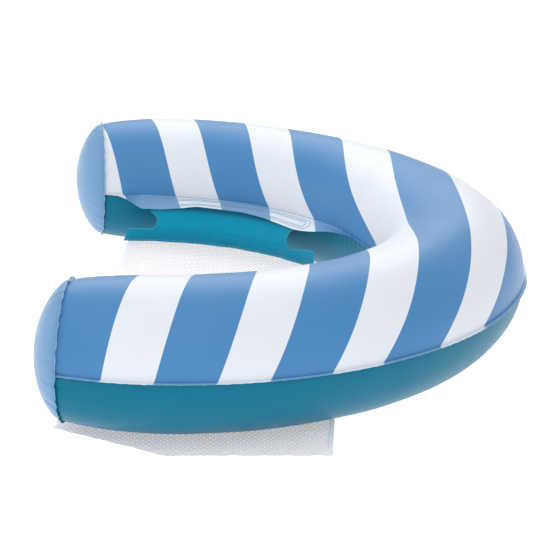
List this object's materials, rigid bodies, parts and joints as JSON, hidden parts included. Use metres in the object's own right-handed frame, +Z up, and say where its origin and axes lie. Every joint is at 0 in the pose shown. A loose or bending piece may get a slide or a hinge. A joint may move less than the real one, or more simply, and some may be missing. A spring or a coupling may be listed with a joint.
{
  "type": "inflatable pool float",
  "caption": "U-shaped inflatable swim seat: one air tube with striped top panel, plain bottom panel and domed end caps, mesh sling between the arms and a push-in air valve.",
  "frame": {"origin": "on the ground, under the middle of the whole float's box", "axes": "+X towards the bend of the U, +Y towards the left arm, +Z up"},
  "size_m": [0.755, 1.1242, 0.2314],
  "materials": {
    "striped_vinyl": "satin vinyl film printed with blue and white stripes",
    "teal_vinyl": "satin teal vinyl film",
    "blue_vinyl": "satin light blue vinyl film",
    "skirt_vinyl": "satin bright teal vinyl film",
    "white_net": "white knitted polyester net",
    "white_tape": "white woven binding tape",
    "clear_vinyl": "milky soft vinyl"
  },
  "bodies": {
    "root": {"top_panel": "striped_vinyl", "bottom_panel": "teal_vinyl", "left_end_cap": "blue_vinyl", "right_end_cap": "blue_vinyl", "left_sling_skirt": "skirt_vinyl", "right_sling_skirt": "skirt_vinyl", "left_mesh_backing_strip": "skirt_vinyl", "right_mesh_backing_strip": "skirt_vinyl", "sling_mesh": "white_net", "sling_rear_hem": "white_tape", "sling_front_hem": "white_tape", "valve_base": "clear_vinyl"},
    "stem": {"valve_stem": "clear_vinyl"},
    "plug": {"valve_plug": "clear_vinyl"},
    "flap": {"valve_flap": "clear_vinyl"}
  },
  "joints": [
    {"name": "valve_stem_slide", "type": "slide", "parent": "root", "child": "stem", "axis": [0.3244, 0.7836, 0.5299], "range_m": [0, 0.01]},
    {"name": "valve_plug_hinge", "type": "hinge", "parent": "stem", "child": "plug", "pos_m": [0.00325, 0.50519, 0.1667], "axis": [-0.924, 0.3825, 0], "range_deg": [0, 150]},
    {"name": "valve_flap_hinge", "type": "hinge", "parent": "stem", "child": "flap", "pos_m": [-0.0055, 0.48404, 0.15935], "axis": [0.924, -0.3825, 0], "range_deg": [0, 45], "stiffness_Nm_per_rad": 0.0002}
  ]
}
